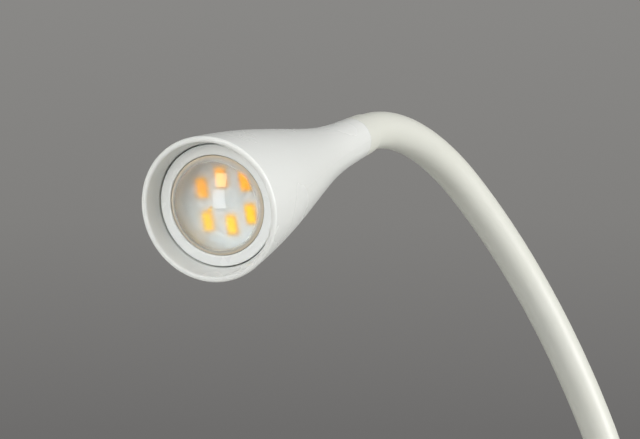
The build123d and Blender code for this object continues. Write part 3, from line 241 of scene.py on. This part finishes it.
# PVC wire insulation and cable sheath: extruded and slightly chalky.
wire_pvc = grained("wire_pvc", "#a19c92", "#968f84", 8, 0.9, 0.01, (0.48, 0.58), IOR=1.54)
sheath_pvc = grained("sheath_pvc", "#d2d2cd", "#c8c8c2", 8, 0.9, 0.01, (0.48, 0.58), IOR=1.54)
# Steatite, pressed and fired without glaze: ivory with darker specks and a chalky grain.
steatite = grained("steatite", "#e0dccf", "#cfc8b6", 2.5, 0.7, 0.03, (0.55, 0.70), IOR=1.6)
# Polycarbonate ring of the bulb: a cold white that is nearly polished.
white_polycarbonate = grained(
    "white_polycarbonate", "#ecefee", "#e7eae9", 12, 5.0, 0.006, (0.22, 0.30), IOR=1.58)
# The bulb's moulded body: the same plastic from a duller mould.
cup_polycarbonate = grained(
    "cup_polycarbonate", "#e2e2e2", "#dadada", 12, 0.8, 0.02, (0.34, 0.44), IOR=1.58)
# LED housing: cream polyphthalamide. Its deep yellow tone and orange emission are painted glow, standing in
# for the phosphor's light spread over it.
led_housing = grained(
    "led_housing", "#ffcf4a", "#ffc033", 2.0, 0.8, 0.01, (0.35, 0.45), IOR=1.6,
    Emission_Color=linear("#ffae14"), Emission_Strength=0.3)
print("grained finishes from", gloss_abs.name, "to", led_housing.name)

# %% [markdown]
# ## White LED board
# The aluminium board under the LEDs is screen-printed with white solder mask. It lies deep in the mouth, under
# a dome that scatters light on it, and a path tracer finds little of that light. So light is painted on the
# mask
# as a faint emission: none at the top, in the rim's shade, and most at the bottom, where light falls past the
# rim.

# %% Solder mask with painted light, brighter below
PAINTED_LIGHT_LOW, PAINTED_LIGHT_HIGH, PAINTED_LIGHT_STRENGTH = MOUTH.z - 7, MOUTH.z + 11, 0.27
# White solder mask: smooth, with a faint orange peel from the screen. Its cool emission colour is painted
# light.
solder_mask = grained(
    "solder_mask", "#f8f9fa", "#f2f4f5", 4, 1.6, 0.01, (0.30, 0.40), IOR=1.5,
    Emission_Color=linear("#d8f0fb"))
tree = solder_mask.node_tree
place = add(tree, "ShaderNodeTexCoord").outputs["Object"]
height = add(tree, "ShaderNodeSeparateXYZ", {}, {"Vector": place}).outputs["Z"]
# Painted light: the emission is strongest at the bottom of the board and falls to none at the top, in the
# rim's shade.
painted_light = add(tree, "ShaderNodeMapRange", {}, {
    "Value": height, "From Min": PAINTED_LIGHT_LOW * MM, "From Max": PAINTED_LIGHT_HIGH * MM,
    "To Min": PAINTED_LIGHT_STRENGTH, "To Max": 0.0})
tree.links.new(painted_light.outputs[0], tree.nodes["Principled BSDF"].inputs["Emission Strength"])
print("solder mask glows up to", round(PAINTED_LIGHT_HIGH, 1), "mm")

# %% [markdown]
# ## Metals
# The hidden fittings are plated steel, drawn spring wire and turned brass. Their surfaces are streaked by the
# tool, so the noise is stretched with a Mapping node, and the streaks drive both the roughness and a shallow
# relief.


# %% Recipe for a streaked metal
def streaked(name, pale, deep, streak_mm, stretch, depth_mm, gloss):
    """A metal with tool marks: streaks of one width, stretched along an axis."""
    material, tree = begin(name)
    place = add(tree, "ShaderNodeTexCoord").outputs["Object"]
    along = add(tree, "ShaderNodeMapping", {}, {"Vector": place, "Scale": stretch})
    streak = add(tree, "ShaderNodeTexNoise", {}, {
        "Vector": along.outputs[0], "Scale": 1 / (streak_mm * MM), "Detail": 3.0})
    tone = add(tree, "ShaderNodeMix", {"data_type": "RGBA"}, {
        0: streak.outputs[0], 6: linear(pale), 7: linear(deep)})
    rough = add(tree, "ShaderNodeMapRange", {}, {
        "Value": streak.outputs[0], "From Min": NOISE_LOW, "From Max": NOISE_HIGH,
        "To Min": gloss[0], "To Max": gloss[1]})
    relief = add(tree, "ShaderNodeBump", {}, {
        "Strength": 1.0, "Distance": depth_mm * MM, "Height": streak.outputs[0]})
    surface = add(tree, "ShaderNodeBsdfPrincipled", {}, {
        "Base Color": tone.outputs[2], "Metallic": 1.0, "Roughness": rough.outputs[0],
        "Normal": relief.outputs[0]})
    add(tree, "ShaderNodeOutputMaterial", {}, {"Surface": surface.outputs[0]})
    return material


# Zinc-plated steel: a cool grey with soft, cloudy streaks from barrel plating.
zinc_plate = streaked("zinc_plate", "#c9cbd0", "#a9acb3", 1.2, (1.0, 0.3, 0.3), 0.006, (0.28, 0.42))
# Drawn spring wire: darker, with fine lines along the wire.
spring_wire = streaked("spring_wire", "#8d8f96", "#6f7178", 0.7, (0.25, 1.0, 1.0), 0.006, (0.30, 0.40))
# Turned brass: warm yellow with fine rings from the lathe.
turned_brass = streaked("turned_brass", "#d9bb78", "#c39f55", 0.5, (0.3, 0.3, 1.0), 0.005, (0.22, 0.34))
print("metals:", zinc_plate.name, spring_wire.name, turned_brass.name)

# %% [markdown]
# ## Dome over the LEDs
# The dome is acrylic. Its outside is polished and reflects sharply, but its inside is etched, so the LEDs
# behind it are seen as soft spots. Its edge, which is glued into the ring, is an opaque tan that fades
# inwards, and its skirt is painted white. The distance from the dome's centre tells the outside, the inside
# and the skirt apart, and the distance from the head's axis tells where the edge begins.

# %% Etched acrylic
DOME_CENTRE = MOUTH + HEAD_IN * 25.0
DOME_OUT, DOME_WALL = 23.604, 1.2
DOME_IN = DOME_OUT - DOME_WALL
SKIRT_TO, DOME_FROM = DOME_IN - 0.5, DOME_IN - 0.2
BAND_R, BAND_FADE = 13.7, 1.5
ETCHED, POLISHED = 0.34, 0.012
etched_acrylic, tree = begin("etched_acrylic")
place = add(tree, "ShaderNodeTexCoord").outputs["Object"]
reach = add(tree, "ShaderNodeVectorMath", {"operation": "DISTANCE"}, {
    0: place, 1: DOME_CENTRE * MM}).outputs["Value"]
offset = add(tree, "ShaderNodeVectorMath", {"operation": "SUBTRACT"}, {0: place, 1: MOUTH * MM})
across = add(tree, "ShaderNodeVectorMath", {"operation": "CROSS_PRODUCT"}, {
    0: offset.outputs[0], 1: HEAD_IN})
radius = add(tree, "ShaderNodeVectorMath", {"operation": "LENGTH"}, {0: across.outputs[0]}).outputs["Value"]
frost = add(tree, "ShaderNodeMapRange", {}, {
    "Value": reach, "From Min": (DOME_OUT - DOME_WALL / 2) * MM,
    "From Max": (DOME_OUT - DOME_WALL / 3) * MM, "To Min": ETCHED, "To Max": POLISHED})
domed = add(tree, "ShaderNodeMapRange", {}, {
    "Value": reach, "From Min": SKIRT_TO * MM, "From Max": DOME_FROM * MM})
edge = add(tree, "ShaderNodeMapRange", {}, {
    "Value": radius, "From Min": (BAND_R - BAND_FADE) * MM, "From Max": BAND_R * MM})
band = add(tree, "ShaderNodeMath", {"operation": "MULTIPLY"}, {0: domed.outputs[0], 1: edge.outputs[0]})
window = add(tree, "ShaderNodeMath", {"operation": "SUBTRACT"}, {0: domed.outputs[0], 1: band.outputs[0]})
tone = add(tree, "ShaderNodeMix", {"data_type": "RGBA"}, {
    0: band.outputs[0], 6: linear("#fcffff"), 7: linear("#d6c9b4")})
surface = add(tree, "ShaderNodeBsdfPrincipled", {}, {
    "Base Color": tone.outputs[2], "Roughness": frost.outputs[0], "IOR": 1.49,
    "Transmission Weight": window.outputs[0]})
add(tree, "ShaderNodeOutputMaterial", {}, {"Surface": surface.outputs[0]})
print("dome of radius", DOME_OUT, "mm, clear within", round(BAND_R - BAND_FADE, 1), "mm of the axis")

# %% [markdown]
# ## Phosphor and circuit board
# The yellow of an unlit LED is its phosphor. Real phosphor glows faintly in daylight; here its glow is painted
# light, an emission that shines whatever light falls on it. The driver's board inside the bulb is green glass
# fibre laminate, whose woven cloth shows through the lacquer as a fine check, so two crossed waves draw it.

# %% Phosphor and glass fibre board
PAINTED_SHADE_LOW, PAINTED_SHADE_HIGH = MOUTH.z - 2, MOUTH.z + 6
# Phosphor in clear silicone, with painted light and shade: yellow lower down, where light falls on it,
# and orange higher up, in the rim's shade.
phosphor_silicone, tree = begin("phosphor_silicone")
place = add(tree, "ShaderNodeTexCoord").outputs["Object"]
height = add(tree, "ShaderNodeSeparateXYZ", {}, {"Vector": place}).outputs["Z"]
painted_shade_mask = add(tree, "ShaderNodeMapRange", {}, {
    "Value": height, "From Min": PAINTED_SHADE_LOW * MM, "From Max": PAINTED_SHADE_HIGH * MM})
tone = add(tree, "ShaderNodeMix", {"data_type": "RGBA"}, {
    0: painted_shade_mask.outputs[0], 6: linear("#ffcf00"), 7: linear("#ffa408")})
# Painted glow: the emission takes the same painted yellow and orange.
surface = add(tree, "ShaderNodeBsdfPrincipled", {}, {
    "Base Color": tone.outputs[2], "Roughness": 0.2, "IOR": 1.41, "Emission Color": tone.outputs[2],
    "Emission Strength": 0.8})
add(tree, "ShaderNodeOutputMaterial", {}, {"Surface": surface.outputs[0]})

# At scale 1 a wave of this texture is 2 pi / 20 of a metre long.
WEAVE_MM = 0.8
WEAVE_SCALE = 2 * pi / 20 / (WEAVE_MM * MM)
fibre_board, tree = begin("fibre_board")
place = add(tree, "ShaderNodeTexCoord").outputs["Object"]
warp = add(tree, "ShaderNodeTexWave", {"bands_direction": "X"}, {"Vector": place, "Scale": WEAVE_SCALE})
weft = add(tree, "ShaderNodeTexWave", {"bands_direction": "Z"}, {"Vector": place, "Scale": WEAVE_SCALE})
weave = add(tree, "ShaderNodeMath", {"operation": "MULTIPLY"}, {0: warp.outputs[1], 1: weft.outputs[1]})
tone = add(tree, "ShaderNodeMix", {"data_type": "RGBA"}, {
    0: weave.outputs[0], 6: linear("#2a6a45"), 7: linear("#357a51")})
surface = add(tree, "ShaderNodeBsdfPrincipled", {}, {
    "Base Color": tone.outputs[2], "Roughness": 0.35, "IOR": 1.5})
add(tree, "ShaderNodeOutputMaterial", {}, {"Surface": surface.outputs[0]})
print("finishes:", phosphor_silicone.name, fibre_board.name)

# %% [markdown]
# ## Dressing the CAD pieces
# Each CAD piece carries the name of a material slot from the part's record. A table turns that name into a
# finish, and the piece's own slot takes it. The meshes themselves stay as they are.

# %% Finish for every slot
FINISHES = {
    "white_moulding": satin_abs, "white_gloss": gloss_abs, "neck_sheath": soft_pvc,
    "pad_rubber": nitrile_rubber, "grommet_rubber": bush_rubber, "steel": zinc_plate,
    "spring_steel": spring_wire, "brass": turned_brass, "rocker_grey": rocker_abs,
    "terminal_nylon": natural_nylon, "wire_insulation": wire_pvc, "cable_sheath": sheath_pvc,
    "steatite": steatite, "bulb_bezel": white_polycarbonate, "bulb_cup": cup_polycarbonate,
    "clear_lens": etched_acrylic, "white_board": solder_mask, "led_body": led_housing,
    "phosphor": phosphor_silicone, "circuit_board": fibre_board,
}
for part in frame["record"]["subparts"]:
    mesh = frame["nodes"][part["node"]].data
    for index in range(len(mesh.materials)):
        mesh.materials[index] = FINISHES[part["material_slot"]]

# %% [markdown]
# ## Sweeping round stock along a path
# The sleeve, its steel core, the cable inside and the clip's spring are all round stock that follows a path. A
# Bezier curve gives the path, and a Geometry Nodes tree sweeps a circle along it. The tree's inputs are the
# radius, the number of sides, whether the ends are closed, and the finish. The result is turned into a plain
# mesh.

# %% Sweep tree
sweep = bpy.data.node_groups.new("round_stock", "GeometryNodeTree")
sweep.interface.new_socket("Path", in_out="INPUT", socket_type="NodeSocketGeometry")
SWEEP_INPUTS = {
    name: sweep.interface.new_socket(name, in_out="INPUT", socket_type=kind)
    for name, kind in (
        ("Radius", "NodeSocketFloat"), ("Sides", "NodeSocketInt"), ("Closed Ends", "NodeSocketBool"),
        ("Finish", "NodeSocketMaterial"),
    )
}
sweep.interface.new_socket("Stock", in_out="OUTPUT", socket_type="NodeSocketGeometry")
given = add(sweep, "NodeGroupInput").outputs
ring = add(sweep, "GeometryNodeCurvePrimitiveCircle", {}, {
    "Radius": given["Radius"], "Resolution": given["Sides"]})
stock = add(sweep, "GeometryNodeCurveToMesh", {}, {
    "Curve": given["Path"], "Profile Curve": ring.outputs[0], "Fill Caps": given["Closed Ends"]})
smooth = add(sweep, "GeometryNodeSetShadeSmooth", {}, {0: stock.outputs[0]})
real = add(sweep, "GeometryNodeRealizeInstances", {}, {0: smooth.outputs[0]})
finished = add(sweep, "GeometryNodeSetMaterial", {}, {0: real.outputs[0], "Material": given["Finish"]})
add(sweep, "NodeGroupOutput", {}, {0: finished.outputs[0]})
print("sweep tree has", len(sweep.nodes), "nodes")

# %% Round stock through marks
STEPS_BETWEEN_KNOTS = 6


def round_stock(name, marks, radius_mm, sides, closed, finish):
    """A plain mesh object: a circle swept along a smooth path through (point, heading) marks. A handle
    is a third of the way to the next mark, which makes a Bezier curve follow an arc closely."""
    path = bpy.data.curves.new(name + "_path", "CURVE")
    path.dimensions = "3D"
    path.resolution_u = STEPS_BETWEEN_KNOTS
    knots = path.splines.new("BEZIER").bezier_points
    knots.add(len(marks) - 1)
    for number, (point, heading) in enumerate(marks):
        back = (point - marks[max(number - 1, 0)][0]).length / 3
        ahead = (marks[min(number + 1, len(marks) - 1)][0] - point).length / 3
        knots[number].handle_left_type = knots[number].handle_right_type = "FREE"
        knots[number].co = point * MM
        knots[number].handle_left = (point - heading * back) * MM
        knots[number].handle_right = (point + heading * ahead) * MM
    carrier = bpy.data.objects.new(name + "_carrier", path)
    bpy.context.scene.collection.objects.link(carrier)
    modifier = carrier.modifiers.new("sweep", "NODES")
    modifier.node_group = sweep
    sizes = {"Radius": radius_mm * MM, "Sides": sides, "Closed Ends": closed, "Finish": finish}
    for socket, value in sizes.items():
        modifier[SWEEP_INPUTS[socket].identifier] = value
    graph = bpy.context.evaluated_depsgraph_get()
    mesh = bpy.data.meshes.new_from_object(carrier.evaluated_get(graph), depsgraph=graph)
    bpy.data.objects.remove(carrier)
    piece = bpy.data.objects.new(name, mesh)
    bpy.context.scene.collection.objects.link(piece)
    return piece


print("round stock takes", STEPS_BETWEEN_KNOTS, "steps between knots")

# %% [markdown]
# ## Smooth neck
# The CAD neck is seven rigid lengths with a hinge between each two, because MuJoCo bends it that way. The real
# one bends evenly, so the sleeve, the core and the cable are swept again, smooth along the neck's course at
# rest, and the rigid CAD lengths are hidden.

# %% Sleeve, core and cable
NECK_PIECES = 7
LENGTH = NECK_L / NECK_PIECES
KNOT_STEP = 5.5
RIGID_END = 1.5
CHAIN = ("clip", "neck_2", "neck_3", "neck_4", "neck_5", "neck_6", "head")
# Each layer has its name, its radius in millimetres, its number of sides and its material slot.
LAYERS = (
    ("sleeve", 5.72, 64, "neck_sheath"),
    ("core", 4.27, 32, "spring_steel"),
    ("cable", 1.90, 24, "cable_sheath"),
)


def neck_marks(start, end):
    """Evenly spaced marks along the neck."""
    count = max(2, round((end - start) / KNOT_STEP))
    return [neck_at(start + (end - start) * number / count) for number in range(count + 1)]


for layer, radius, sides, slot in LAYERS:
    finish = FINISHES[slot]
    foot = round_stock(f"{layer}_foot", neck_marks(0, LENGTH / 2), radius, sides, False, finish)
    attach(foot, CHAIN[0])
    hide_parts(f"neck_{layer}_1")
    for number in range(1, NECK_PIECES):
        start, end = (number - 0.5) * LENGTH, (number + 0.5) * LENGTH
        bend = round_stock(f"{layer}_bend_{number}", neck_marks(start, end), radius, sides, False, finish)
        neck_at(start + RIGID_END)[0] * MM
        neck_at(end - RIGID_END)[0] * MM
        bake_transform(bend)
        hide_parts(f"neck_{layer}_{number}", f"neck_{layer}_{number + 1}")
    top = round_stock(f"{layer}_top", neck_marks(NECK_L - LENGTH / 2, NECK_L), radius, sides, False, finish)
    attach(top, CHAIN[-1])
    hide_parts(f"neck_{layer}_{NECK_PIECES}")
print("neck pieces:", len(LAYERS) * (NECK_PIECES + 1))

# %% [markdown]
# ## Torsion spring
# The clip closes by a coil of wire round its pin. One leg presses on the upper jaw and the other on the lower
# jaw's grip. When the clip opens, the real coil winds up; here it is swept once, at rest, with its turns
# spread along the pin between the two legs.

# %% Coil and legs
PIN = Vector((0, 35, -7))
WIRE_R, WIRE_SIDES, COIL_R, COIL_PITCH, SPRING_LEG = 0.9, 16, 5.0, 2.6, 24.0
COIL_FROM, COIL_SWEEP, KNOT_ANGLE = 97.376, 1939.918, 30
COIL_L = COIL_PITCH * COIL_SWEEP / 360
COIL_KNOTS = round(COIL_SWEEP / KNOT_ANGLE)


def coil_at(share):
    """Centre of the wire and its heading at a share of the coil."""
    angle = radians(COIL_FROM + share * COIL_SWEEP)
    spot = PIN + Vector((COIL_L * (share - 0.5), COIL_R * cos(angle), COIL_R * sin(angle)))
    heading = Vector((COIL_PITCH / (2 * pi), -COIL_R * sin(angle), COIL_R * cos(angle)))
    return spot, heading.normalized()


coil = [coil_at(number / COIL_KNOTS) for number in range(COIL_KNOTS + 1)]
upper_tip = (coil[0][0] - coil[0][1] * SPRING_LEG, coil[0][1])
lower_tip = (coil[-1][0] + coil[-1][1] * SPRING_LEG, coil[-1][1])
spring = round_stock("clip_spring", [upper_tip, *coil, lower_tip], WIRE_R, WIRE_SIDES, True, spring_wire)
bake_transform(spring)
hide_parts("torsion_spring")
print("spring of", round(COIL_SWEEP / 360, 2), "turns,", len(spring.data.polygons), "faces")

# %% [markdown]
# ## Studio
# The photograph has a plain grey backdrop that is darker towards the bottom. The world is that grey for what
# the camera sees and for what shiny and clear surfaces show, and a dim warm fill for the rest.

# %% Backdrop
HORIZON_FADE = 0.07  # how far from level, as a slope, the grey goes on changing
FILL_STRENGTH = 0.08
world = bpy.data.worlds.new("studio")
bpy.context.scene.world = world
world.use_nodes = True
tree = world.node_tree
tree.nodes.clear()
towards = add(tree, "ShaderNodeTexCoord").outputs["Generated"]
height = add(tree, "ShaderNodeSeparateXYZ", {}, {"Vector": towards}).outputs["Z"]
upper = add(tree, "ShaderNodeMapRange", {}, {"Value": height, "From Min": 0.0, "From Max": HORIZON_FADE})
lower = add(tree, "ShaderNodeMapRange", {}, {"Value": height, "From Min": -HORIZON_FADE, "From Max": 0.0})
low_grey = add(tree, "ShaderNodeMix", {"data_type": "RGBA"}, {
    0: lower.outputs[0], 6: linear("#6e6d6c"), 7: linear("#81807e")})
grey = add(tree, "ShaderNodeMix", {"data_type": "RGBA"}, {
    0: upper.outputs[0], 6: low_grey.outputs[2], 7: linear("#898886")})
rays = add(tree, "ShaderNodeLightPath").outputs
direct = add(tree, "ShaderNodeMath", {"operation": "MAXIMUM"}, {
    0: rays["Is Camera Ray"], 1: rays["Is Glossy Ray"]})
seen = add(tree, "ShaderNodeMath", {"operation": "MAXIMUM"}, {
    0: direct.outputs[0], 1: rays["Is Transmission Ray"]})
fill = add(tree, "ShaderNodeBackground", {}, {"Color": linear("#fff2d8"), "Strength": FILL_STRENGTH})
backdrop = add(tree, "ShaderNodeBackground", {}, {"Color": grey.outputs[2], "Strength": 1.0})
either = add(tree, "ShaderNodeMixShader", {}, {
    0: seen.outputs[0], 1: fill.outputs[0], 2: backdrop.outputs[0]})
add(tree, "ShaderNodeOutputWorld", {}, {"Surface": either.outputs[0]})
print("backdrop from #6e6d6c below to #898886 above")

# %% [markdown]
# ## Lights
# A large softbox at the right models the outside of the shade and the neck. A cool fill in front lights the
# mouth, and a weak one behind keeps the back from going dark. Neither shows as a reflection. Two small panes
# at the left do: the photograph shows them in the dome, one above the other. They shine forward only, so that
# they leave no bright patch on the floor.

# %% Soft lights
SUBJECT = Vector((-0.10, -0.09, 0.25))
PANE_SPREAD = radians(90)


def soft_light(name, azimuth, elevation, distance, width, height, watts, colour):
    """A rectangular light aimed at the head. Azimuth 0 is the camera's side and 90 the right."""
    data = bpy.data.lights.new(name, "AREA")
    data.shape = "RECTANGLE"
    data.size, data.size_y, data.energy = width, height, watts
    data.color = linear(colour)[:3]
    light = bpy.data.objects.new(name, data)
    level = cos(radians(elevation))
    away = Vector((sin(radians(azimuth)) * level, -cos(radians(azimuth)) * level, sin(radians(elevation))))
    light.location = SUBJECT + away * distance
    light.rotation_euler = away.to_track_quat("Z", "Y").to_euler()
    light.visible_camera = False
    bpy.context.scene.collection.objects.link(light)
    print(name, watts, "W at", [round(c, 2) for c in light.location])
    return light


soft_light("right_softbox", 69, 18, 3.2, 1.6, 2.24, 101.0, "#ffffff")
soft_light("front_fill", -35, 30, 1.3, 1.1, 0.8, 7.4, "#eef5ff").visible_glossy = False
soft_light("back_fill", 190, 25, 2.0, 1.6, 1.2, 4.0, "#ffffff").visible_glossy = False
soft_light("left_upper_pane", -34, 13.5, 1.0, 0.27, 0.30, 0.45, "#fff4e2").data.spread = PANE_SPREAD
soft_light("left_lower_pane", -36, -10, 0.6, 0.162, 0.228, 0.13, "#ffffff").data.spread = PANE_SPREAD

# %% [markdown]
# ## Floor
# A plain pale disc lies just under the clip, which is the lowest piece. It is not part of the lamp.

# %% Floor
FLOOR_R, FLOOR_SIDES, FLOOR_GAP = 1.2, 96, 0.0005
floor_mesh = bpy.data.meshes.new("floor")
disc = bmesh.new()
bmesh.ops.create_circle(disc, cap_ends=True, radius=FLOOR_R, segments=FLOOR_SIDES)
disc.to_mesh(floor_mesh)
disc.free()
floor = bpy.data.objects.new("floor", floor_mesh)
floor.location.z = cad_box[0][2] - FLOOR_GAP
bpy.context.scene.collection.objects.link(floor)
# Painted board: matt and pale, with a slight drift of tone.
floor_mesh.materials.append(grained("painted_floor", "#cfcfcc", "#cacac7", 200, 2.0, 0.01, (0.6, 0.7)))
print("floor at", round(floor.location.z, 4), "m")

# %% [markdown]
# ## Finish
# The view layer is brought up to date once more. The CAD model's box was measured when the frame was opened.
# The dressed lamp must not be larger than the CAD model.

# %% Finish
bpy.context.view_layer.update()
